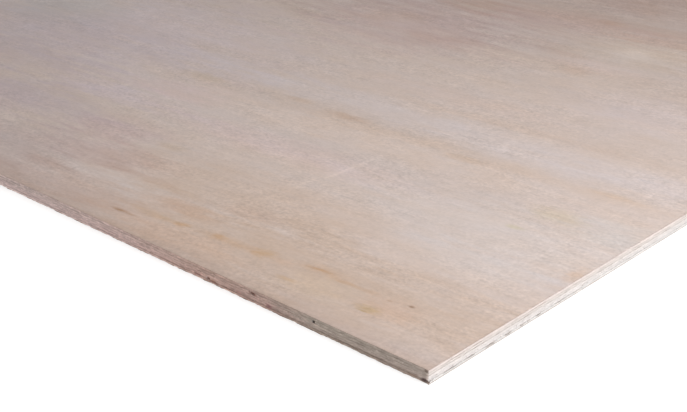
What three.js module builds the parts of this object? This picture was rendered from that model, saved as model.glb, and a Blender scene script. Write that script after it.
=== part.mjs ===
import * as THREE from "three";

// A full sheet of seven-ply plywood, lying flat with its face up. X runs along the length and the grain of
// the faces, Y across the sheet and Z up. The origin is the middle of the underside. Millimetres.
//
// Seven veneers are glued up with the grain turned by a right angle from each to the next: a thin face,
// five thick inner plies and a thin back. The inner plies whose grain runs across the sheet are the
// crossbands, and those whose grain runs along it are the cores. A crossband is laid in pieces down the
// length, so its joints come out at the two long edges. A core is laid in strips side by side, so its
// joints come out at the two short edges. The joints stay a little open, and the trimming saw lays them
// bare as core gaps.

// The trimmed sheet.
const sheetLength = 2440;
const sheetWidth = 1220;

// The veneers, after pressing.
const faceVeneerThickness = 0.375;
const crossbandThickness = 2.25;
const coreThickness = 2.25;
const backVeneerThickness = 0.375;

// Crossbands: pieces of one width, butted down the sheet. Each crossband's first joint is at a place of
// its own, measured from the right-hand short edge, so that no joint lies over another.
const crossbandPieceWidth = 635;
const topCrossbandFirstJoint = 625;
const centreCrossbandFirstJoint = 545;
const bottomCrossbandFirstJoint = 585;

// Cores: strips of one width, butted across the sheet. The first joint is measured from the front long edge.
const coreStripWidth = 430;
const topCoreFirstJoint = 395;
const bottomCoreFirstJoint = 365;

// A joint's gap narrows from the trimmed edge inwards, and is closed over the middle of the sheet, where
// glue thread holds the pieces together.
const gapMouth = 1.6;
const gapInnerWidth = 0.6;
const closedLength = 180;

// The top core's front strip is pieced out at its right-hand end. The end joint of the short piece comes
// out at the front long edge and stays closed next to the neighbouring strip.
const endJointFromRight = 110;
const endJointMouth = 3;
const endJointInnerWidth = 1.2;
const endJointClosedLength = 45;

// A knot in each core that the saw has opened at the front long edge, as a shallow hollow. Both are
// measured from the end joint, away from the right-hand edge.
const topKnotPastEndJoint = 65;
const topKnotWidth = 5;
const topKnotDepth = 1.3;
const bottomKnotPastEndJoint = 115;
const bottomKnotWidth = 4.5;
const bottomKnotDepth = 1.3;
const knotArcSteps = 5;

// The bottom crossband's front right-hand corner has broken away.
const chipAlongFront = 6.5;
const chipAlongRight = 2;

// The grid that the plies' levels keep to, so that two plies meet on exactly one plane.
const levelGrid = 1 / 1024;

// A slot in from the edge of a ply, narrowing to its inner width. Its place is a distance along the edge.
function slot(place, mouth, innerWidth, depth) {
  return { place, mouth, innerWidth, depth, rounded: false };
}

// A rounded hollow in the edge of a ply: half an ellipse.
function hollow(place, mouth, depth) {
  return { place, mouth, depth, rounded: true };
}

// The joints of one ply, as slots from one edge: the first joint, then one at every further piece.
function jointSlots(firstJoint, pieceWidth, edgeLength, depth) {
  const slots = [];
  for (let place = firstJoint; place < edgeLength - gapMouth; place += pieceWidth) {
    slots.push(slot(place, gapMouth, gapInnerWidth, depth));
  }
  return slots;
}

// Measures the same cuts from the other end of their edge.
function fromOtherEnd(cuts, edgeLength) {
  return cuts.map((cut) => ({ ...cut, place: edgeLength - cut.place }));
}

// Draws one edge of an outline, with its cuts. The edge runs from a corner in one direction, and the ply
// lies to the left of it.
function drawEdge(outline, corner, direction, edgeLength, cuts) {
  const inward = new THREE.Vector2(-direction.y, direction.x);
  const turn = Math.atan2(direction.y, direction.x);
  const pointAt = (distance, depth) =>
    corner.clone().addScaledVector(direction, distance).addScaledVector(inward, depth);
  const lineTo = (distance, depth) => {
    const point = pointAt(distance, depth);
    outline.lineTo(point.x, point.y);
  };
  for (const cut of [...cuts].sort((a, b) => a.place - b.place)) {
    if (cut.rounded) {
      const middle = pointAt(cut.place, 0);
      outline.absellipse(middle.x, middle.y, cut.mouth / 2, cut.depth, Math.PI, 0, true, turn);
    } else {
      lineTo(cut.place - cut.mouth / 2, 0);
      lineTo(cut.place - cut.innerWidth / 2, cut.depth);
      lineTo(cut.place + cut.innerWidth / 2, cut.depth);
      lineTo(cut.place + cut.mouth / 2, 0);
    }
  }
  lineTo(edgeLength, 0);
}

// A ply's outline, anticlockwise from the front left-hand corner. Cuts in the long edges are placed from
// the right-hand edge and cuts in the short edges from the front edge. A chip takes off the front
// right-hand corner.
function plyOutline({ frontCuts = [], backCuts = [], leftCuts = [], rightCuts = [], chip = null }) {
  const left = -sheetLength / 2;
  const right = sheetLength / 2;
  const front = -sheetWidth / 2;
  const back = sheetWidth / 2;
  const chipX = chip ? chip.alongFront : 0;
  const chipY = chip ? chip.alongRight : 0;
  const frontFromLeft = fromOtherEnd(frontCuts, sheetLength);
  const rightFromChip = rightCuts.map((cut) => ({ ...cut, place: cut.place - chipY }));
  const leftFromBack = fromOtherEnd(leftCuts, sheetWidth);
  const rightStart = new THREE.Vector2(right, front + chipY);

  const outline = new THREE.Shape();
  outline.moveTo(left, front);
  drawEdge(outline, new THREE.Vector2(left, front), new THREE.Vector2(1, 0), sheetLength - chipX, frontFromLeft);
  if (chip) {
    outline.lineTo(rightStart.x, rightStart.y);
  }
  drawEdge(outline, rightStart, new THREE.Vector2(0, 1), sheetWidth - chipY, rightFromChip);
  drawEdge(outline, new THREE.Vector2(right, back), new THREE.Vector2(-1, 0), sheetLength, backCuts);
  drawEdge(outline, new THREE.Vector2(left, back), new THREE.Vector2(0, -1), sheetWidth, leftFromBack);
  return outline;
}

// A crossband's outline, with its joints open at both long edges.
function crossbandOutline(firstJoint, chip) {
  const depth = (sheetWidth - closedLength) / 2;
  const joints = jointSlots(firstJoint, crossbandPieceWidth, sheetLength, depth);
  return plyOutline({ frontCuts: joints, backCuts: joints, chip });
}

// A core's outline, with its joints open at both short edges and its own cuts in the front long edge.
function coreOutline(firstJoint, frontCuts) {
  const depth = (sheetLength - closedLength) / 2;
  const joints = jointSlots(firstJoint, coreStripWidth, sheetWidth, depth);
  return plyOutline({ frontCuts, leftCuts: joints, rightCuts: joints });
}

// The end joint and the opened knot of the top core, and the opened knot of the bottom core.
const endJointDepth = topCoreFirstJoint - endJointClosedLength;
const topCoreFrontCuts = [
  slot(endJointFromRight, endJointMouth, endJointInnerWidth, endJointDepth),
  hollow(endJointFromRight + topKnotPastEndJoint, topKnotWidth, topKnotDepth),
];
const bottomCoreFrontCuts = [
  hollow(endJointFromRight + bottomKnotPastEndJoint, bottomKnotWidth, bottomKnotDepth),
];

// The finishes. An inner ply shows the tone of its own cut: the crossbands their dull end grain along the
// front, the cores their paler long grain.
const faceWood = { color: 0xcbb4a4, roughness: 0.62, metalness: 0 };
const crossbandWood = { color: 0x8d7463, roughness: 0.85, metalness: 0 };
const coreWood = { color: 0xb59c8c, roughness: 0.8, metalness: 0 };
const backWood = { color: 0xbfa693, roughness: 0.68, metalness: 0 };

// The plies from the underside up.
const corner = { alongFront: chipAlongFront, alongRight: chipAlongRight };
const plies = [
  { name: "back_veneer", thickness: backVeneerThickness, wood: backWood, outline: plyOutline({}) },
  {
    name: "crossband_bottom",
    thickness: crossbandThickness,
    wood: crossbandWood,
    outline: crossbandOutline(bottomCrossbandFirstJoint, corner),
  },
  {
    name: "core_bottom",
    thickness: coreThickness,
    wood: coreWood,
    outline: coreOutline(bottomCoreFirstJoint, bottomCoreFrontCuts),
  },
  {
    name: "crossband_centre",
    thickness: crossbandThickness,
    wood: crossbandWood,
    outline: crossbandOutline(centreCrossbandFirstJoint, null),
  },
  {
    name: "core_top",
    thickness: coreThickness,
    wood: coreWood,
    outline: coreOutline(topCoreFirstJoint, topCoreFrontCuts),
  },
  {
    name: "crossband_top",
    thickness: crossbandThickness,
    wood: crossbandWood,
    outline: crossbandOutline(topCrossbandFirstJoint, null),
  },
  { name: "face_veneer", thickness: faceVeneerThickness, wood: faceWood, outline: plyOutline({}) },
];

// Lays each ply on the one before it.
const sheet = new THREE.Group();
sheet.name = "plywood_sheet";
const onGrid = (level) => Math.round(level / levelGrid) * levelGrid;
let level = 0;
for (const ply of plies) {
  const underside = onGrid(level);
  level += ply.thickness;
  const depth = onGrid(level) - underside;
  const extrusion = { depth, bevelEnabled: false, curveSegments: knotArcSteps };
  const geometry = new THREE.ExtrudeGeometry(ply.outline, extrusion);
  const mesh = new THREE.Mesh(geometry, new THREE.MeshStandardMaterial(ply.wood));
  mesh.name = ply.name;
  mesh.position.z = underside;
  sheet.add(mesh);
}

export default sheet;
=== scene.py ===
import math

import bpy
import numpy as np
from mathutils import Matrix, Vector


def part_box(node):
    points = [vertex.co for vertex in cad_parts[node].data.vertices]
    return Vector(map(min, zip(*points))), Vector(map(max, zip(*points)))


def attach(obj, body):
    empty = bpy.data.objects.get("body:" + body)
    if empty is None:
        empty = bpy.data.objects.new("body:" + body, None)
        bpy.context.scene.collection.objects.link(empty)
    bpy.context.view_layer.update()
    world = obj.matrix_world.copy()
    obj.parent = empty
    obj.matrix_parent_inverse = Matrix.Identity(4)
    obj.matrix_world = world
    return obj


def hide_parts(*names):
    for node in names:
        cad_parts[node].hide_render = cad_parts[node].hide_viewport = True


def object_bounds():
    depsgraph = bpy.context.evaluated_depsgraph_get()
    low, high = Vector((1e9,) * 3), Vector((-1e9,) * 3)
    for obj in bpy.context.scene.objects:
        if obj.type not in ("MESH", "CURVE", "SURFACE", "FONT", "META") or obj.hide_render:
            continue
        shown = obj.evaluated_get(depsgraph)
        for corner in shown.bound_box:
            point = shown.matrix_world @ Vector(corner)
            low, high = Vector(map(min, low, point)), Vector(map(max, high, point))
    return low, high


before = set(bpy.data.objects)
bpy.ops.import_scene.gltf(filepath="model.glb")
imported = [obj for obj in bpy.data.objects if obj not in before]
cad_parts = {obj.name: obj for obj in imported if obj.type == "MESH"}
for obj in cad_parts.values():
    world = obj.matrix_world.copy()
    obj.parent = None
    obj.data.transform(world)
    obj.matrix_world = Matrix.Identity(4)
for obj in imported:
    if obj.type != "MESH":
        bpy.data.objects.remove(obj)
cad_low, cad_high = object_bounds()


# --- Inner plies -----------------------------------------------------------------------------------------
# Five thick veneers, peeled from the log and glued with their grain crossed: crossbands run over the width,
# cores along the length. The trimming saw cuts each of them across the grain on two edges and along it on
# the other two, and leaves end grain a little rough and sunk, and long grain smooth with torn slivers.

MM = 0.001
# How far apart the points along a sawn edge are, and how near two of them may be to count as one.
EDGE_STEP = 1.5 * MM
SAME_POINT = 0.01 * MM
# No knot is hollower than this, and its hollow closes by this share at the top and bottom of the ply.
KNOT_DEPTH = 4 * MM
KNOT_CLOSING = 0.97
# A crease sharper than this stays an arris.
SHARP_ANGLE = math.radians(35)
# The attribute that says how many millimetres a point lies behind the trimmed edge.
INSET = "inset"


def ply_outline(node):
    """The ply's outline in plan, anticlockwise, as an (n, 2) array.

    It is the chain of those edges of the underside that only one triangle uses.
    """
    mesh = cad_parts[node].data
    mesh.calc_loop_triangles()
    corners = np.zeros(len(mesh.vertices) * 3)
    mesh.vertices.foreach_get("co", corners)
    corners = corners.reshape(-1, 3)
    triangles = np.zeros(len(mesh.loop_triangles) * 3, dtype=int)
    mesh.loop_triangles.foreach_get("vertices", triangles)
    triangles = triangles.reshape(-1, 3)
    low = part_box(node)[0][2]
    under = np.all(corners[triangles, 2] < low + SAME_POINT, axis=1)
    grid = np.round(corners[:, :2] / SAME_POINT).astype(int)
    places, which = np.unique(grid, axis=0, return_inverse=True)
    loops = which.reshape(-1)[triangles[under]]
    steps = np.concatenate([loops[:, [0, 1]], loops[:, [1, 2]], loops[:, [2, 0]]])
    there = set(map(tuple, steps))
    after = {a: b for a, b in there if (b, a) not in there}
    chain = [min(after)]
    while after[chain[-1]] != chain[0]:
        chain.append(after[chain[-1]])
    return places[chain[::-1]] * SAME_POINT


def on_trimmed_edge(points):
    """Which trimmed edges each point lies on, as an (n, 4) array: left, right, front, back."""
    x, y = points[:, 0], points[:, 1]
    near = 2 * SAME_POINT
    return np.stack(
        [x < cad_low[0] + near, x > cad_high[0] - near, y < cad_low[1] + near, y > cad_high[1] - near], axis=1
    )


def stations(outline, step):
    """Points along the outline, and the way in from the trimmed edge at each, both (n, 2).

    A stretch on a trimmed edge is divided evenly, about one step apart. The way in is zero in a cut.
    """
    following = np.roll(outline, -1, axis=0)
    shared = on_trimmed_edge(outline) & on_trimmed_edge(following)
    lengths = np.linalg.norm(following - outline, axis=1)
    counts = np.where(shared.any(axis=1), np.ceil(lengths / step), 1).astype(int)
    first = np.repeat(np.cumsum(counts) - counts, counts)
    share = (np.arange(counts.sum()) - first) / np.repeat(counts, counts)
    points = np.repeat(outline, counts, axis=0)
    points = points + share[:, None] * np.repeat(following - outline, counts, axis=0)
    inward = on_trimmed_edge(points) @ np.array([[1, 0], [-1, 0], [0, 1], [0, -1]])
    return points, inward


def wander(places, spacing, rng):
    """Smooth random values between -1 and 1: random numbers one spacing apart, joined by a cosine ease."""
    heights = rng.uniform(-1, 1, int(places.max() / spacing) + 3)
    cell = np.floor(places / spacing).astype(int)
    ease = (1 - np.cos((places / spacing - cell) * math.pi)) / 2
    return heights[cell] * (1 - ease) + heights[cell + 1] * ease


def ply_piece(name, node, step, rows, relief):
    """A ply as a closed surface: its outline carried up through the rows, and capped at both ends.

    Each row is a share of the thickness. relief(distance, points, inward, share) is how far the stations
    stand in from the trimmed edge, where distance is the way round the outline. A knot's hollow in the
    front edge gets narrower and shallower towards the top and bottom of the ply, as an ellipse does, and
    what lies within KNOT_DEPTH of the front corners is drawn towards them in the same way. The piece keeps
    the attribute INSET.
    """
    points, inward = stations(ply_outline(node), step)
    distance = np.cumsum(np.linalg.norm(np.diff(points, axis=0, prepend=points[:1]), axis=1))
    low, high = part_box(node)[0][2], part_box(node)[1][2]
    count = len(points)
    vertices = np.zeros((len(rows), count, 3))
    behind = points[:, 1] - cad_low[1]
    shallow = (behind > 2 * SAME_POINT) & (behind < KNOT_DEPTH)
    knot = shallow & ~inward.any(axis=1)
    knot_middle = points[knot, 0].mean() if knot.any() else 0.0
    for row, share in enumerate(rows):
        depth = relief(distance, points, inward, share)
        vertices[row, :, :2] = points + depth[:, None] * inward
        swell = math.sqrt(1 - KNOT_CLOSING * (2 * share - 1) ** 2)
        vertices[row, shallow, 1] = cad_low[1] + behind[shallow] * swell
        vertices[row, knot, 0] = knot_middle + (points[knot, 0] - knot_middle) * swell
        vertices[row, :, 2] = low + share * (high - low)
    here = np.arange(count)
    following = np.roll(here, -1)
    starts = np.arange(len(rows) - 1)[:, None] * count
    lower_edges = [here + starts, following + starts]
    upper_edges = [following + starts + count, here + starts + count]
    faces = np.stack(lower_edges + upper_edges, axis=2).reshape(-1, 4).tolist()
    faces.append(here[::-1].tolist())
    faces.append((here + (len(rows) - 1) * count).tolist())
    mesh = bpy.data.meshes.new(name)
    mesh.from_pydata(vertices.reshape(-1, 3), [], faces)
    mesh.set_sharp_from_angle(angle=SHARP_ANGLE)
    mesh.polygons.foreach_set("use_smooth", [True] * (len(faces) - 2) + [False, False])
    flat = vertices.reshape(-1, 3)[:, :2]
    inset = np.minimum(flat - cad_low[:2], cad_high[:2] - flat).min(axis=1)
    mesh.attributes.new(INSET, "FLOAT", "POINT").data.foreach_set("value", inset / MM)
    piece = bpy.data.objects.new(name, mesh)
    bpy.context.scene.collection.objects.link(piece)
    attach(piece, "root")
    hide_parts(node)
    return piece


class Wire:
    """A shader socket that takes part in an expression: each operator adds a Math node."""

    def __init__(self, finish, socket):
        self.finish = finish
        self.socket = socket

    def math(self, operation, *values):
        inputs = dict(enumerate((self, *values)))
        return self.finish.node("ShaderNodeMath", {"operation": operation}, inputs)

    def __add__(self, other):
        return self.math("ADD", other)

    __radd__ = __add__

    def __mul__(self, other):
        return self.math("MULTIPLY", other)

    __rmul__ = __mul__

    def __sub__(self, other):
        return self.math("SUBTRACT", other)

    def __rsub__(self, other):
        return self.math("MULTIPLY_ADD", -1, other)

    def __truediv__(self, other):
        return self.math("DIVIDE", other)

    def __rtruediv__(self, other):
        return self.math("POWER", -1) * other

    def __abs__(self):
        return self.math("ABSOLUTE")

    def rise(self, low, high):
        """0 below low, 1 above high and an even curve between."""
        settings = {"interpolation_type": "SMOOTHSTEP"}
        return self.finish.node("ShaderNodeMapRange", settings, {0: self, 1: low, 2: high})


class Finish:
    """A material that is put together from node() calls and expressions on their wires."""

    def __init__(self, name):
        self.material = bpy.data.materials.new(name)
        self.material.use_nodes = True
        self.tree = self.material.node_tree
        self.shader = self.tree.nodes["Principled BSDF"]

    def node(self, kind, settings=None, inputs=None, output=0):
        """Adds one node, with its settings first and then the values or links of its sockets.

        The setting "stops" lays a ramp's stops, as places from 0 to 1 and colours.
        """
        made = self.tree.nodes.new(kind)
        settings = dict(settings or {})
        stops = settings.pop("stops", ())
        for place, colour in stops[1:-1]:
            made.color_ramp.elements.new(place).color = colour
        for end in (0, -1) if stops else ():
            made.color_ramp.elements[end].position, made.color_ramp.elements[end].color = stops[end]
        for key, value in settings.items():
            setattr(made, key, value)
        for key, value in (inputs or {}).items():
            self.feed(made.inputs[key], value)
        return Wire(self, made.outputs[output])

    def feed(self, socket, value):
        if isinstance(value, Wire):
            self.tree.links.new(value.socket, socket)
        else:
            socket.default_value = value

    def vector(self, operation, first, second, output=0):
        """Vector Math on two vectors, or on a vector and a number for SCALE."""
        key = "Scale" if operation == "SCALE" else 1
        return self.node("ShaderNodeVectorMath", {"operation": operation}, {0: first, key: second}, output)

    def place(self):
        """The place on the piece in millimetres, as a vector."""
        return self.vector("SCALE", self.node("ShaderNodeTexCoord", output="Object"), 1 / MM)

    def parts(self, vector):
        """The three numbers of a vector."""
        return [self.node("ShaderNodeSeparateXYZ", None, {0: vector}, output=i) for i in range(3)]

    def joined(self, x, y, z):
        """A vector of three numbers."""
        return self.node("ShaderNodeCombineXYZ", None, {0: x, 1: y, 2: z})

    def noise(self, vector, lengths, detail=2.0, roughness=0.5):
        """Noise from 0 to 1 whose waves are about as long as the given millimetres along X, Y and Z."""
        scaled = self.vector("MULTIPLY", vector, tuple(1 / length for length in lengths))
        inputs = {"Vector": scaled, "Scale": 1.0, "Detail": detail, "Roughness": roughness}
        return self.node("ShaderNodeTexNoise", None, inputs)

    def mix(self, factor, first, second, blend="MIX"):
        """One colour mixed over another."""
        settings = {"data_type": "RGBA", "blend_type": blend}
        return self.node("ShaderNodeMix", settings, {0: factor, 6: first, 7: second}, output=2)

    def patch(self, vector, middle, reach, core=0.0, ragged=0.0):
        """1 in an oval about the middle, fading to 0 at its reach. core is the share that stays at 1.

        ragged is added to the distance from the middle, as a share of the reach, and so frays the outline.
        """
        away = self.vector("MULTIPLY", self.vector("SUBTRACT", vector, middle), tuple(1 / r for r in reach))
        return 1 - (self.vector("LENGTH", away, (0, 0, 0), output=1) + ragged).rise(core, 1.0)

    def bump(self, height, distance):
        return self.node("ShaderNodeBump", None, {"Height": height, "Distance": distance, "Strength": 1.0})

    def set(self, **values):
        """Sets the shader's own sockets, named with _ for a space."""
        for key, value in values.items():
            self.feed(self.shader.inputs[key.replace("_", " ")], value)
        return self.material


# Stains on the front long edge, as distances from its right-hand end and tints: handling has greyed it near
# the corner, and further along the wood is redder and then pinker. Each tint multiplies the wood's colour.
FRONT_STAINS = (
    (0, (0.83, 0.83, 0.80, 1)),
    (60, (0.77, 0.77, 0.725, 1)),
    (110, (0.805, 0.81, 0.76, 1)),
    (160, (0.93, 0.79, 0.755, 1)),
    (230, (1.01, 0.84, 0.785, 1)),
    (345, (1.13, 1.015, 1.03, 1)),
    (440, (1.11, 1.05, 1.08, 1)),
    (700, (1.15, 1.10, 1.18, 1)),
)

# Marks in the front long edge: CAD node, distance from the right-hand end, height, reach along and up, and
# the colour that it multiplies the wood by.
FRONT_MARKS = (
    # The two knots, with the darker wood about them, and the pale torn wood beside them.
    ("core_top", 174.5, 8.2, 6.0, 1.8, (0.60, 0.45, 0.41)),
    # The bluish pale spot on the top arris above the first knot: pale torn fibres with a painted highlight on
    # them.
    ("crossband_top", 173, 11.6, 4.5, 1.1, (1.22, 1.22, 1.28)),
    ("crossband_centre", 168.5, 5.6, 1.6, 1.7, (1.28, 1.24, 1.24)),
    ("core_bottom", 237, 3.4, 5.0, 1.3, (0.60, 0.48, 0.47)),
    ("core_bottom", 242.5, 3.3, 1.8, 1.3, (1.40, 1.35, 1.35)),
    ("core_bottom", 232.5, 4.4, 2.2, 1.0, (1.35, 1.30, 1.30)),
    ("crossband_centre", 232.5, 5.2, 2.2, 1.0, (1.30, 1.25, 1.25)),
    ("core_bottom", 222, 2.8, 9.0, 1.1, (0.70, 0.60, 0.56)),
    ("crossband_bottom", 218, 2.4, 9.0, 1.3, (0.72, 0.62, 0.58)),
    ("crossband_top", 220.8, 10.4, 4.0, 0.9, (0.82, 0.84, 0.80)),
    ("core_bottom", 156.5, 4.3, 4.5, 1.3, (0.70, 0.55, 0.60)),
    ("crossband_centre", 158.5, 5.1, 3.5, 0.9, (0.78, 0.66, 0.71)),
    ("core_bottom", 161, 3.4, 1.5, 1.2, (1.28, 1.24, 1.26)),
    ("core_bottom", 157, 3.2, 4.0, 1.2, (0.88, 0.76, 0.82)),
    ("crossband_bottom", 157, 2.3, 4.5, 0.7, (0.86, 0.76, 0.83)),
    ("crossband_centre", 171, 6.0, 1.8, 2.0, (1.14, 1.12, 1.14)),
    ("core_bottom", 170, 3.6, 1.5, 1.6, (1.18, 1.16, 1.18)),
    ("crossband_centre", 238.5, 5.4, 2.6, 1.0, (0.78, 0.66, 0.66)),
    ("crossband_bottom", 240, 2.1, 3.0, 0.8, (0.86, 0.72, 0.74)),
    ("core_bottom", 219, 3.6, 4.0, 1.2, (0.78, 0.66, 0.58)),
    ("core_bottom", 267, 3.6, 3.0, 1.0, (0.80, 0.74, 0.70)),
    ("core_bottom", 293, 3.3, 4.5, 1.2, (0.80, 0.76, 0.74)),
    ("core_bottom", 190, 4.0, 4.0, 1.4, (1.10, 0.92, 0.92)),
    # The lowest glue line, which shows as broken dark dashes.
    ("core_bottom", 55, 2.9, 48.0, 0.8, (0.84, 0.82, 0.80)),
    ("core_bottom", 272, 2.9, 34.0, 0.9, (0.82, 0.78, 0.76)),
    ("crossband_bottom", 272, 2.3, 38.0, 0.6, (0.86, 0.83, 0.82)),
    ("crossband_bottom", 93, 2.3, 6.0, 0.8, (0.80, 0.76, 0.74)),
    ("crossband_bottom", 350, 1.9, 40.0, 0.6, (0.88, 0.86, 0.87)),
    ("crossband_bottom", 432, 1.9, 34.0, 0.6, (0.86, 0.84, 0.85)),
    # A paler stretch half way down, and the lowest plies darker, which fades along the edge.
    ("crossband_centre", 40, 5.2, 120.0, 1.1, (1.09, 1.09, 1.09)),
    ("core_bottom", 40, 4.9, 120.0, 1.0, (1.09, 1.09, 1.09)),
    ("core_bottom", 150, 2.4, 260.0, 1.9, (0.78, 0.76, 0.74)),
    ("crossband_bottom", 0, 1.5, 330.0, 40.0, (0.80, 0.76, 0.74)),
    ("crossband_bottom", 220, 0.85, 1500.0, 1.15, (1.40, 1.38, 1.36)),
    ("crossband_bottom", 15, 2.3, 7.0, 0.9, (0.86, 0.73, 0.62)),
    ("crossband_bottom", 83, 1.5, 5.0, 1.3, (0.78, 0.72, 0.68)),
    # The corner: painted shade, with some dirt, where it has broken away, darker wood just under the face,
    # and a painted highlight down the corner's arris between them.
    # Painted shade, with some dirt, in the broken corner.
    ("core_bottom", 3.6, 2.9, 3.9, 1.8, (0.30, 0.24, 0.25)),
    ("crossband_bottom", 3.8, 1.9, 4.8, 1.9, (0.20, 0.16, 0.17)),
    ("core_bottom", 11, 3.5, 3.4, 1.0, (0.66, 0.58, 0.56)),
    ("crossband_bottom", 12, 2.3, 4.0, 0.7, (0.84, 0.78, 0.75)),
    ("core_bottom", 20, 3.8, 14.0, 0.9, (0.86, 0.84, 0.82)),
    ("crossband_top", 2.2, 10.5, 2.4, 1.9, (0.58, 0.53, 0.50)),
    # Painted highlight down the corner's arris, which faces the lights past the right-hand end.
    ("crossband_top", 0, 9.6, 1.8, 1.3, (1.5, 1.52, 1.54)),
    ("core_top", 0, 8.2, 2.6, 1.9, (1.6, 1.62, 1.64)),
    ("core_bottom", 0, 4.3, 2.6, 1.4, (1.8, 1.85, 1.9)),
    ("crossband_centre", 0, 5.9, 2.4, 2.0, (1.7, 1.75, 1.8)),
)

# Colours of what shows in the sawn wood: a check's shadow, the torn fibres of a lifted sliver, glue, and the
# painted shade and dirt in a hollow.
CHECK_BROWN = (0.20, 0.14, 0.11, 1)
SLIVER_PALE = (0.82, 0.70, 0.66, 1)
GLUE_BROWN = (0.17, 0.115, 0.085, 1)
HOLLOW_SHADE_AND_DIRT_BROWN = (0.30, 0.20, 0.16, 1)
# The least width to which the glue is squeezed out, in millimetres, and how much wider it can be.
GLUE_NARROWEST = 0.10
GLUE_SPREAD = 0.42
# How far the colours of the front edge wander along it, in millimetres.
STAIN_WANDER = 70


def inner_wood(name, node, grain, long_wood, end_wood, glued, offset):
    """Peeled veneer seen on its sawn edge: long grain where the saw followed the fibres, end grain where it
    crossed them.

    grain is 0 for X and 1 for Y. Long grain shows streaks along the edge. End grain shows fine specks,
    the slanting checks that the peeling knife opened, and the rings as bands that rise slowly through it.
    glued is how plainly the glue shows at the ply's underside and at its top.
    """
    finish = Finish(name)
    here = finish.place()
    x, y, z = finish.parts(here)
    place = finish.vector("ADD", here, offset)
    normal = finish.parts(finish.node("ShaderNodeNewGeometry", output="Normal"))
    end_grain = abs(normal[grain]).rise(0.4, 0.8)
    long_edge = abs(normal[1]).rise(0.4, 0.8)

    streak_lengths = [1.1, 1.1, 0.45]
    streak_lengths[grain] = 48.0
    streaks = finish.noise(place, streak_lengths, 3.0, 0.6)
    hair_lengths = [0.9, 0.9, 0.35]
    hair_lengths[grain] = 9.0
    hairs = finish.noise(place, hair_lengths, 2.0, 0.6)
    torn = finish.noise(place, (7.0, 7.0, 1.7), 3.0, 0.65)
    clouds = finish.noise(place, (22.0, 22.0, 3.0), 3.0, 0.6)
    swell = finish.noise(place, (170.0, 170.0, 12.0), 1.0, 0.5)

    # The rings lie almost flat in the veneer, and a check slants back from the peeled side.
    along = x if grain == 1 else y
    ring_place = finish.joined(along * 0.03, 0.0, z * 1.1 + swell * 3.0 + offset[0])
    rings = finish.noise(ring_place, (1.0, 1.0, 1.0), 2.0, 0.6)
    check_place = finish.joined(along * 0.75 + z * 0.5, z * 0.35, offset[1])
    checks = finish.noise(check_place, (1.0, 1.0, 1.0), 1.0, 0.4).rise(0.68, 0.74) * end_grain

    # The long edges were trimmed with the rougher saw, so their wood is the more uneven.
    uneven = 0.14 * streaks + 0.36 * hairs + 0.16 * rings + torn + 0.60 * clouds - 1.13
    tone = 1.0 + uneven * (0.60 + 0.70 * long_edge) + 0.10 * (swell - 0.5)
    wood = finish.mix(end_grain, long_wood, end_wood)
    wood = finish.vector("SCALE", wood, tone)
    wood = finish.mix(checks * 0.5, wood, CHECK_BROWN)
    # Slivers that the saw has lifted catch the light, and the front edge has more of them.
    front = (-1 * normal[1]).rise(0.4, 0.8)
    lifted = 0.68 - 0.055 * front
    slivers = (finish.noise(place, (3.4, 3.4, 0.7), 1.0, 0.5) - lifted).rise(0.0, 0.08)
    wood = finish.mix(slivers * 0.6, wood, SLIVER_PALE)

    # The glue lines at the top and bottom of the ply, squeezed out unevenly, and painted shade with dirt in
    # hollows.
    low, high = (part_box(node)[side][2] / MM for side in (0, 1))
    squeezed = finish.noise(place, (11.0, 11.0, 5.0), 3.0, 0.65).rise(0.30, 0.70)
    width = GLUE_NARROWEST + GLUE_SPREAD * squeezed
    glue = (1 - (z - low).rise(0.0, width)) * glued[0] + (1 - (high - z).rise(0.0, width)) * glued[1]
    wood = finish.mix(glue * (0.12 + 0.74 * squeezed), wood, GLUE_BROWN)
    # Painted shade, with some dirt: the wood darkens the further a point lies behind the trimmed edge, in
    # grooves, splinters and knot hollows.
    inset = finish.node("ShaderNodeAttribute", {"attribute_name": INSET}, output=2)
    wood = finish.mix(inset.rise(0.25, 1.3) * 0.5, wood, HOLLOW_SHADE_AND_DIRT_BROWN)

    from_right = cad_high[0] / MM - x
    reach = FRONT_STAINS[-1][0]
    stops = [(at / reach, tint) for at, tint in FRONT_STAINS]
    stained_at = (from_right + STAIN_WANDER * clouds - STAIN_WANDER / 2) / reach
    stain = finish.node("ShaderNodeValToRGB", {"stops": stops}, {0: stained_at})
    wood = finish.mix(front, wood, stain, "MULTIPLY")
    for marked, mark_right, mark_height, along_reach, up_reach, tint in FRONT_MARKS:
        if marked == node:
            middle = (cad_high[0] / MM - mark_right, cad_low[1] / MM, mark_height)
            spot = finish.patch(here, middle, (along_reach, 4.0, up_reach), 0.3, 0.8 * (torn - 0.5))
            wood = finish.mix(spot * front, wood, (*tint, 1), "MULTIPLY")

    relief = finish.bump(streaks * 0.5 + hairs * 0.5 + torn * 1.2 - checks, 0.2 * MM)
    roughness = 0.70 + end_grain * 0.2
    return finish.set(Base_Color=wood, Roughness=roughness, Normal=relief, Specular_IOR_Level=0.25)


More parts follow.
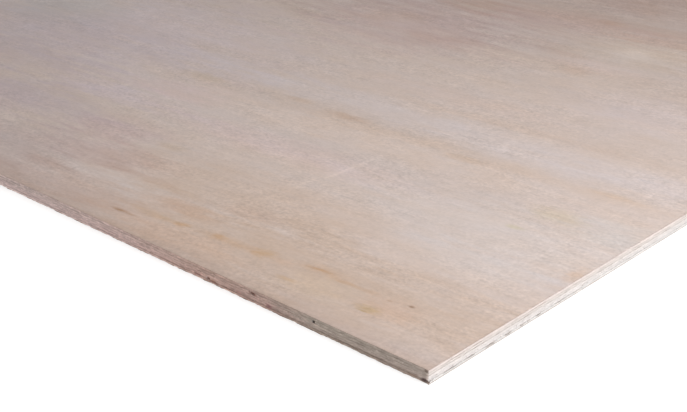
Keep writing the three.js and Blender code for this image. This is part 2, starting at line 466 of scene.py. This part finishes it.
# The rows of points up a ply, as shares of its thickness. They are closer in the lower crossband, for its
# grooves and splinters.
ROWS = (0.0, 0.07, 0.3, 0.5, 0.7, 0.93, 1.0)
LOWEST_ROWS = (0.0, 0.07, 0.3, 0.4, 0.5, 0.6, 0.7, 0.8, 0.9, 1.0)
INNER_PLIES = (
    # name, CAD node, grain axis, glue lines, seed, colour along the grain, colour of the end grain
    ("lower_crossband", "crossband_bottom", 1, (0.5, 1.0), 11, (0.554, 0.535, 0.520), (0.480, 0.398, 0.368)),
    ("lower_core", "core_bottom", 0, (1.0, 0.2), 12, (0.520, 0.420, 0.384), (0.562, 0.528, 0.514)),
    ("middle_crossband", "crossband_centre", 1, (0.2, 1.0), 13, (0.579, 0.536, 0.515), (0.510, 0.420, 0.384)),
    ("upper_core", "core_top", 0, (1.0, 0.8), 14, (0.492, 0.409, 0.369), (0.544, 0.493, 0.465)),
    ("upper_crossband", "crossband_top", 1, (0.8, 0.6), 15, (0.584, 0.512, 0.483), (0.503, 0.419, 0.376)),
)

# Where the saw has torn a groove along the lower crossband at the right-hand short edge: stretches
# measured from the front corner, with the share of the thickness at which each lies and its depth.
TORN_GROOVES = (
    (-4, 8, 0.85, 1.7),
    (15, 34, 0.85, 1.9),
    (39, 55, 0.85, 1.8),
    (65, 79, 0.48, 1.9),
    (87, 99, 0.50, 1.8),
    (107, 114, 0.52, 1.9),
    (116, 120, 0.60, 1.2),
    (128, 134, 0.74, 2.2),
    (151, 166, 0.60, 0.9),
    (175, 191, 0.60, 0.9),
)
# How far up and down a groove reaches, as a share of the thickness, and how steeply it deepens from its ends
# and from its sides, where 1 is a straight slope to its middle.
TORN_REACH = 0.36
TORN_END_SLOPE = 1.8
TORN_SIDE_SLOPE = 1.3

# The saw comes out at the underside, and splinters the lower arris of the front edge: how deep the
# splinters are in the underside, and the share of that depth in each row of the lower crossband.
SPLINTER_DEPTH = 1.3 * MM
SPLINTER_FADE = {0.0: 0.8, 0.07: 0.65, 0.3: 0.25}

# How the saw leaves the wood behind the trimmed edge: the mean, and the spacing in millimetres and the height
# of the waves about it. Splinters are shares of their full depth, and the others are millimetres.
SPLINTERED = (0.5, ((6, 0.25), (2.5, 0.35)))
END_GRAIN_SUNK = (0.12, ((3, 0.07), (17, 0.05)))
LONG_GRAIN_SUNK = (0.03, ((40, 0.02),))
ARRIS_ROUNDING = 0.05
# Slivers torn out of the long grain: their spacing, the height of a wave at which one starts, and the depth
# for each unit that the wave rises further.
TORN_SLIVERS = (26, 0.55, 0.8)


def wavering(distance, mean, waves, rng):
    """A mean with waves about it: the sum of smooth random values, each with its spacing and height."""
    for spacing, height in waves:
        mean = mean + height * wander(distance, spacing * MM, rng)
    return mean


def bites(distance, spacing, start, depth, rng):
    """Separate hollows: by how much smooth random values exceed the start, times the depth."""
    return np.clip(wander(distance, spacing * MM, rng) - start, 0, 1) * depth


def splinters(distance, inward, rng):
    """How deep the lower arris of the front edge is splintered, as a share of the full depth."""
    return np.clip(wavering(distance, *SPLINTERED, rng), 0, 1) * (inward[:, 1] > 0)


def sawn_edge(node, grain, seed):
    """The relief of one inner ply: end grain sunk and rough, long grain smooth with torn slivers."""
    rng = np.random.default_rng(seed)

    def relief(distance, points, inward, share):
        crosses = np.abs(inward[:, grain]) > 0
        rough = wavering(distance, *END_GRAIN_SUNK, rng)
        torn = bites(distance, *TORN_SLIVERS, rng)
        smooth = wavering(distance, *LONG_GRAIN_SUNK, rng) + torn
        rounded = ARRIS_ROUNDING * (share in (0.0, 1.0))
        depth = (np.where(crosses, rough, smooth) + rounded) * MM
        if node == "crossband_bottom":
            depth += SPLINTER_DEPTH * SPLINTER_FADE.get(share, 0) * splinters(distance, inward, rng)
            from_front = (points[:, 1] - cad_low[1]) / MM
            right = inward[:, 0] < 0
            for start, end, level, deepest in TORN_GROOVES:
                middle, half = (start + end) / 2, (end - start) / 2
                along = np.clip(TORN_END_SLOPE * (1 - np.abs(from_front - middle) / half), 0, 1)
                up = min(max(TORN_SIDE_SLOPE * (1 - abs(share - level) / TORN_REACH), 0), 1)
                depth += deepest * MM * right * along * up
        return depth

    return relief


# Each ply's pattern starts at a place of its own, which is this many millimetres away for each unit of seed.
PATTERN_STEP = (37.0, 91.0)

for name, node, grain, glued, seed, long_wood, end_wood in INNER_PLIES:
    rows = LOWEST_ROWS if node == "crossband_bottom" else ROWS
    ply = ply_piece(name, node, EDGE_STEP, rows, sawn_edge(node, grain, seed))
    offset = (seed * PATTERN_STEP[0], seed * PATTERN_STEP[1], 0.0)
    wood = inner_wood(name, node, grain, (*long_wood, 1), (*end_wood, 1), glued, offset)
    ply.data.materials.append(wood)


# --- Face and back ---------------------------------------------------------------------------------------
# Two thin veneers peeled from a pale, close-grained wood, glued over the crossbands and sanded. Their grain
# runs along the sheet. The saw leaves a crisp arris with small nicks where a few fibres have come away.

# The grain runs a little askew to the sheet: millimetres across for each millimetre along.
GRAIN_SLOPE = 0.07

# Belts of the face, as ovals that lie along the grain: distance of the middle from the right-hand end and
# from the front edge, half length, half width, and the colour that it multiplies the wood by.
FACE_BELTS = (
    # Broad belts of heartwood, browner than the rest.
    (170, 48, 430, 85, (0.925, 0.865, 0.79)),
    (900, 757, 2600, 300, (0.87, 0.83, 0.81)),
    (300, 115, 260, 72, (0.95, 0.91, 0.86)),
    (300, 20, 120, 26, (1.05, 0.99, 0.94)),
    (250, 690, 120, 95, (1.06, 1.065, 1.015)),
    (265, 612, 80, 30, (1.07, 1.045, 1.05)),
    (300, 435, 250, 32, (1.045, 1.03, 1.03)),
    (330, 62, 70, 22, (1.0, 0.94, 0.89)),
    (340, 280, 280, 40, (1.055, 1.035, 1.005)),
    # The pale, cooler belts beside them, and a thin brown line between.
    (90, 209, 230, 75, (1.02, 1.065, 1.11)),
    (80, 150, 110, 42, (1.0, 1.035, 1.07)),
    (10, 268, 90, 34, (1.0, 1.055, 1.09)),
    (350, 214, 200, 32, (1.05, 1.025, 1.065)),
    (250, 366, 620, 36, (1.01, 1.045, 1.10)),
    (130, 352, 190, 32, (1.03, 1.05, 1.08)),
    (150, 520, 130, 70, (1.0, 1.02, 1.08)),
    (260, 317, 430, 20, (0.995, 0.965, 0.925)),
    (240, 405, 260, 12, (0.99, 0.965, 0.94)),
    # A browner stretch by the front edge, which turns greyer and darker further along.
    (450, 24, 170, 50, (0.965, 0.925, 0.925)),
    (470, 95, 120, 42, (0.95, 0.91, 0.93)),
    (565, 60, 160, 64, (0.87, 0.855, 0.88)),
    # The cooler wood beyond, duller along the middle, with narrower dull belts in it.
    (850, 280, 280, 120, (0.895, 0.89, 0.91)),
    (760, 345, 340, 220, (1.01, 1.02, 1.11)),
    (740, 215, 180, 62, (0.92, 0.90, 0.91)),
    (580, 205, 140, 34, (1.01, 1.02, 1.11)),
    (655, 135, 150, 62, (0.885, 0.875, 0.96)),
    (880, 370, 120, 100, (0.91, 0.955, 0.935)),
    (545, 252, 90, 30, (1.005, 0.965, 0.97)),
    (520, 600, 200, 155, (0.95, 0.90, 0.935)),
    (400, 725, 190, 64, (1.01, 0.955, 0.955)),
    (360, 860, 130, 95, (0.92, 0.865, 0.85)),
    # Smaller clouds in it, and the paler, cooler wood at the corner.
    (26, 13, 48, 15, (0.98, 1.015, 1.06)),
    (134, 156, 44, 26, (1.01, 1.03, 1.055)),
    (272, 92, 46, 18, (0.99, 0.97, 0.965)),
    (505, 140, 80, 40, (0.95, 0.905, 0.95)),
    (180, 102, 42, 24, (0.975, 0.955, 0.925)),
    (450, 560, 70, 36, (0.955, 0.915, 0.90)),
    (265, 740, 80, 46, (0.99, 0.95, 0.955)),
    (500, 700, 60, 40, (1.0, 0.965, 0.91)),
    (550, 602, 62, 46, (1.05, 1.055, 1.02)),
    (5, 175, 16, 46, (0.965, 0.965, 0.975)),
)

# Warm streaks, mineral stains and pin knots, as ovals in the same way.
FACE_MARKS = (
    (330, 38, 48, 9, (0.97, 0.90, 0.80)),
    (300, 40, 13, 8, (0.97, 0.89, 0.78)),
    (262, 46, 12, 9, (0.97, 0.89, 0.78)),
    (212, 50, 17, 10, (0.97, 0.88, 0.74)),
    (245, 45, 60, 9, (0.99, 0.92, 0.83)),
    (154, 59, 42, 10, (0.985, 0.93, 0.86)),
    (157, 59, 20, 3.6, (0.90, 0.79, 0.66)),
    (126, 57, 22, 4.0, (0.96, 0.90, 0.83)),
    (104, 58, 15, 5.0, (0.97, 0.93, 0.88)),
    (140, 42, 50, 20, (1.035, 1.025, 0.98)),
    (142, 27, 56, 13, (1.02, 1.005, 0.96)),
    (190, 48, 22, 9, (1.02, 0.985, 0.95)),
    (168, 30, 16, 4.5, (0.97, 0.90, 0.78)),
    (88, 37, 17, 8, (0.92, 0.89, 0.72)),
    (75, 46, 40, 26, (1.02, 0.95, 0.89)),
    (78, 267, 38, 20, (1.0, 0.985, 0.885)),
    (92, 225, 14, 6, (0.95, 0.95, 0.82)),
    (60, 333, 46, 8, (0.985, 0.95, 0.90)),
    (214, 311, 34, 10, (0.95, 0.895, 0.82)),
    (366, 317, 36, 11, (0.95, 0.89, 0.83)),
    (432, 320, 28, 8, (0.975, 0.93, 0.87)),
    (561, 300, 46, 17, (0.96, 0.93, 0.85)),
    (435, 147, 27, 12, (0.95, 0.92, 0.86)),
    (5, 186, 10, 20, (1.01, 0.93, 0.84)),
    (276, 585, 30, 24, (0.97, 0.93, 0.89)),
    (339, 757, 30, 15, (0.98, 0.92, 0.87)),
    (643, 540, 60, 22, (0.97, 0.95, 0.91)),
    # Pin knots.
    (361, 24, 15, 3.8, (0.72, 0.59, 0.46)),
    (347, 24, 13, 2.6, (0.84, 0.74, 0.64)),
    (67, 61, 4.2, 2.6, (0.58, 0.50, 0.43)),
    (85, 57, 4.0, 2.2, (0.88, 0.84, 0.80)),
    (92, 32, 9, 1.8, (0.88, 0.84, 0.70)),
    (198, 75, 3.4, 6.0, (0.91, 0.91, 0.92)),
    # Rubbed pale spots, and a scratch across the grain.
    (284, 170, 3.4, 32, (1.07, 1.07, 1.06)),
    (277, 212, 3.4, 42, (1.07, 1.07, 1.06)),
    (275, 240, 3.4, 46, (1.06, 1.06, 1.055)),
    (378, 60, 42, 22, (1.02, 1.05, 1.08)),
    (258, 676, 30, 24, (1.10, 1.12, 1.15)),
)

# Lines that nicks in the peeling knife have scored across the grain: the distance from the right-hand end
# at the front edge, how far they drift for each millimetre across, and how much they lighten the wood.
KNIFE_LINES = (
    (49, -0.02, 0.05),
    (298, -0.10, 0.035),
    (742, -0.05, 0.03),
    (1630, -0.03, 0.03),
    (2155, -0.06, 0.04),
)

# The texture of the wood: length along the grain, width across it, detail, and how far it shades the wood. It
# is fainter and stronger by turns.
FACE_TEXTURE = (
    (330.0, 8.0, 3.0, 0.05),
    (46.0, 0.9, 3.0, 0.09),
    (60.0, 45.0, 5.0, 0.07),
    (5.0, 34.0, 2.0, 0.06),
    (24.0, 8.0, 3.0, 0.14),
    (16.0, 11.0, 2.0, 0.18),
    (8.0, 5.5, 2.0, 0.20),
    (3.4, 2.8, 2.0, 0.37),
)


# The back has broken away with the lower crossband's corner: how far along the front and the right-hand edge,
# and how deep.
CHIP = ((6.5, 1.6), (3.0, 1.0))

# The thin veneers are nearly flush, in millimetres. The nicks are given as the torn slivers are.
SKIN_SUNK = 0.02
SKIN_NICKS = (7, 0.6, 1.4)


def nicked_edge(splintered, seed):
    """The relief of a thin veneer: flush with the trimmed edge, with short shallow nicks.

    splintered adds the splinters of the lower arris at the front edge and the chipped corner, which gets
    evenly shallower along both edges.
    """
    rng = np.random.default_rng(seed)

    def relief(distance, points, inward, share):
        nick = bites(distance, *SKIN_NICKS, rng)
        depth = (SKIN_SUNK + nick * share) * MM
        if splintered:
            depth += SPLINTER_DEPTH * splinters(distance, inward, rng)
            from_corner = np.array([cad_high[0], cad_low[1]]) - points
            for axis, (length, deepest) in enumerate(CHIP):
                other_edge = np.abs(from_corner[:, 1 - axis]) < 2 * SAME_POINT
                share_left = np.clip(1 - np.abs(from_corner[:, axis]) / (length * MM), 0, 1)
                chipped = np.maximum(depth, deepest * MM * share_left)
                depth = np.where(other_edge & (share_left > 0), chipped, depth)
        return depth

    return relief


# Noise on the face changes only along the sheet and across it: its waves are this long through the thickness.
FLAT = 500.0

# Tints of the skins: where hands have soiled the front edge, the rim at every edge, and the sawn side of the
# veneer in long grain and in end grain. On the back veneer the end-grain tint is also painted shade where the
# sheet meets the floor.
HANDLED_TINT = (0.86, 0.82, 0.79, 1)
RIM_TINT = (0.93, 0.92, 0.91, 1)
SAWN_LONG_TINT = (0.88, 0.86, 0.85, 1)
SAWN_END_AND_FLOOR_SHADE_TINT = (0.62, 0.61, 0.61, 1)
# The handling fades over this many millimetres.
HANDLED_REACH = 12.0


def face_wood(name, wood, belts, marks, offset):
    """Peeled veneer, sanded: belts and soft rings along the grain, a mottle of warm and cool wood, a ripple
    across the grain, and fine fibres and pores.

    wood is its cool tone and its warm tone.
    """
    finish = Finish(name)
    place = finish.place()
    x, y, z = finish.parts(place)
    from_right = cad_high[0] / MM - x
    from_front = y - cad_low[1] / MM
    askew = from_front + GRAIN_SLOPE * from_right
    drift = finish.noise(place, (620.0, 260.0, FLAT), 2.0, 0.5) - 0.5
    flow = finish.noise(place, (150.0, 40.0, FLAT), 2.0, 0.5) - 0.5
    grain = finish.joined(from_right + offset, askew + 46 * drift + 7 * flow, offset)

    broad = finish.noise(grain, (1300.0, 85.0, FLAT), 3.0, 0.55)
    clouds = finish.noise(grain, (52.0, 26.0, FLAT), 4.0, 0.6)
    colour = finish.mix((0.45 * broad + 0.55 * clouds).rise(0.30, 0.70), wood[0], wood[1])
    rings = finish.noise(grain, (1900.0, 250.0, FLAT), 2.0, 0.5)
    mottle = sum(
        shade * (finish.noise(grain, (length, width, FLAT), detail, 0.6) - 0.5)
        for length, width, detail, shade in FACE_TEXTURE
    )
    patchy = 0.6 + 0.75 * finish.noise(grain, (120.0, 45.0, FLAT), 2.0, 0.5).rise(0.35, 0.65)
    tone = 1.0 + 0.018 * (rings * 34.0).math("SINE") + patchy * mottle
    pores = finish.noise(grain, (8.0, 0.42, FLAT), 1.0, 0.5).rise(0.66, 0.76)
    tone = tone - 0.09 * pores
    for at, drifts, light in KNIFE_LINES:
        line = 1 - abs(from_right - at - drifts * from_front).rise(0.4, 2.2)
        tone = tone + light * line * clouds.rise(0.35, 0.55)
    colour = finish.vector("SCALE", colour, tone)

    along_grain = finish.joined(from_right, askew, 0.0)
    belt_fray = 1.5 * (finish.noise(grain, (95.0, 15.0, FLAT), 5.0, 0.68) - 0.5)
    mark_fray = 1.1 * (finish.noise(grain, (16.0, 5.0, FLAT), 3.0, 0.65) - 0.5)
    for ovals, fray in ((belts, belt_fray), (marks, mark_fray)):
        for at, beside, half_length, half_width, tint in ovals:
            middle = (at, beside + GRAIN_SLOPE * at, 0.0)
            spot = finish.patch(along_grain, middle, (half_length, half_width, 1.0), 0.1, fray)
            colour = finish.mix(spot, colour, (*tint, 1), "MULTIPLY")

    # Handling has soiled the face along its front edge, and a narrow rim of it at every edge. The sawn side
    # of the veneer is duller, most of all where it shows end grain. On the back veneer that darker end grain
    # is also painted shade at the foot of the sheet, where it meets the floor.
    handled = 1.2 / (1 + (from_front / HANDLED_REACH) * (from_front / HANDLED_REACH))
    handled = handled * (0.75 + 0.5 * finish.noise(grain, (90.0, 14.0, FLAT), 3.0, 0.6))
    colour = finish.mix(handled, colour, HANDLED_TINT, "MULTIPLY")
    from_ends = cad_high[0] / MM - abs(x)
    from_sides = cad_high[1] / MM - abs(y)
    inside = (2.0 * from_ends).math("MINIMUM", from_sides)
    colour = finish.mix(1 - inside.rise(0.2, 2.2), colour, RIM_TINT, "MULTIPLY")
    normal = finish.parts(finish.node("ShaderNodeNewGeometry", output="Normal"))
    side = 1 - abs(normal[2]).rise(0.5, 0.9)
    # The end-grain tint is also painted shade on the back veneer, where the sheet meets the floor.
    sawn = finish.mix(abs(normal[0]), SAWN_LONG_TINT, SAWN_END_AND_FLOOR_SHADE_TINT)
    colour = finish.mix(side, colour, sawn, "MULTIPLY")
    roughness = 0.58 + 0.08 * clouds + 0.15 * side
    relief = finish.bump(clouds * 0.8 + mark_fray * 0.3 - pores, 0.05 * MM)
    return finish.set(Base_Color=colour, Roughness=roughness, Normal=relief, Specular_IOR_Level=0.3)


FACE_WOOD = ((0.665, 0.565, 0.530, 1), (0.665, 0.540, 0.475, 1))
BACK_WOOD = ((0.600, 0.490, 0.430, 1), (0.560, 0.440, 0.370, 1))
SKIN_ROWS = (0.0, 0.5, 1.0)
SKIN_PATTERN_STEP = 613.0
SKINS = (
    # name, CAD node, slot, cool and warm tone of the wood, belts, marks, splintered, seed
    ("back", "back_veneer", "back_wood", BACK_WOOD, (), (), True, 21),
    ("face", "face_veneer", "face_wood", FACE_WOOD, FACE_BELTS, FACE_MARKS, False, 22),
)
for name, node, slot, wood, belts, marks, splintered, seed in SKINS:
    skin = ply_piece(name, node, EDGE_STEP, SKIN_ROWS, nicked_edge(splintered, seed))
    skin.data.materials.append(face_wood(name, wood, belts, marks, seed * SKIN_PATTERN_STEP))


# --- Floor, light and camera -----------------------------------------------------------------------------
# A pale studio floor just under the sheet, soft lights past its right-hand end, in front of it and over its
# far end, and an even pale surround. The camera stands off the sheet's front right-hand corner.

FLOOR_REACH = 40.0
FLOOR_LEVEL = -0.1 * MM
FLOOR_GREY = (0.46, 0.46, 0.46, 1)
FLOOR_GLOW = 0.68
floor_mesh = bpy.data.meshes.new("floor")
corner_signs = ((-1, -1), (1, -1), (1, 1), (-1, 1))
floor_corners = [(x * FLOOR_REACH, y * FLOOR_REACH, FLOOR_LEVEL) for x, y in corner_signs]
floor_mesh.from_pydata(floor_corners, [], [(0, 1, 2, 3)])
floor = bpy.data.objects.new("floor", floor_mesh)
bpy.context.scene.collection.objects.link(floor)
floor_glow = {"Emission_Color": (1, 1, 1, 1), "Emission_Strength": FLOOR_GLOW}
floor_paint = Finish("floor_paint").set(Base_Color=FLOOR_GREY, Roughness=0.9, **floor_glow)
floor_mesh.materials.append(floor_paint)

SURROUND_COLOUR = (0.97, 0.98, 1.0, 1)
SURROUND_STRENGTH = 0.29
world = bpy.data.worlds.new("surround")
world.use_nodes = True
background = world.node_tree.nodes["Background"]
background.inputs["Color"].default_value = SURROUND_COLOUR
background.inputs["Strength"].default_value = SURROUND_STRENGTH
bpy.context.scene.world = world

SOFT_LIGHTS = (
    # name, place, the point it faces, width, height, power, colour
    ("key", (1.9, -0.35, 1.1), (0.8, -0.35, 0.0), 1.0, 1.2, 15.5, (1.0, 0.98, 0.95)),
    ("low_key", (2.6, -0.3, 0.5), (1.0, -0.3, 0.0), 1.2, 0.8, 10.5, (0.97, 0.98, 1.0)),
    ("front_fill", (-0.6, -3.0, 1.2), (-0.2, -0.3, 0.0), 1.5, 1.5, 11.0, (1.0, 0.97, 0.94)),
    ("far_corner", (-1.9, 1.1, 0.5), (-1.25, 0.6, 0.0), 0.7, 0.7, 1.8, (1.0, 0.98, 0.95)),
    ("far_top", (-1.05, 0.3, 1.3), (-1.8, 0.4, 0.0), 1.0, 1.0, 7.0, (1.0, 0.98, 0.96)),
)
for name, place, target, width, height, power, colour in SOFT_LIGHTS:
    light = bpy.data.lights.new(name, "AREA")
    light.shape = "RECTANGLE"
    light.size = width
    light.size_y = height
    light.energy = power
    light.color = colour
    lamp = bpy.data.objects.new(name, light)
    bpy.context.scene.collection.objects.link(lamp)
    lamp.location = place
    lamp.visible_camera = False
    ahead, aside, down = (there - here for here, there in zip(place, target))
    lamp.rotation_euler = (math.atan2(math.hypot(ahead, aside), -down), 0.0, math.atan2(-ahead, aside))

# The camera: its turn about the vertical and its dip in degrees, its lens and sensor in millimetres, and its
# place from the corner of the face.
CAMERA_AZIMUTH = 42.52
CAMERA_DIP = 24.885
CAMERA_LENS = 75.04
CAMERA_SENSOR = 36.0
CAMERA_FROM_CORNER = (0.5307, -0.6658, 0.5191)
camera_data = bpy.data.cameras.new("camera")
camera_data.lens = CAMERA_LENS
camera_data.sensor_width = CAMERA_SENSOR
camera = bpy.data.objects.new("camera", camera_data)
bpy.context.scene.collection.objects.link(camera)
corner = (cad_high[0], cad_low[1], cad_high[2])
camera.location = [place + away for place, away in zip(corner, CAMERA_FROM_CORNER)]
camera.rotation_euler = (math.radians(90 - CAMERA_DIP), 0.0, math.radians(CAMERA_AZIMUTH))
bpy.context.scene.camera = camera
bpy.context.scene.view_settings.view_transform = "Standard"
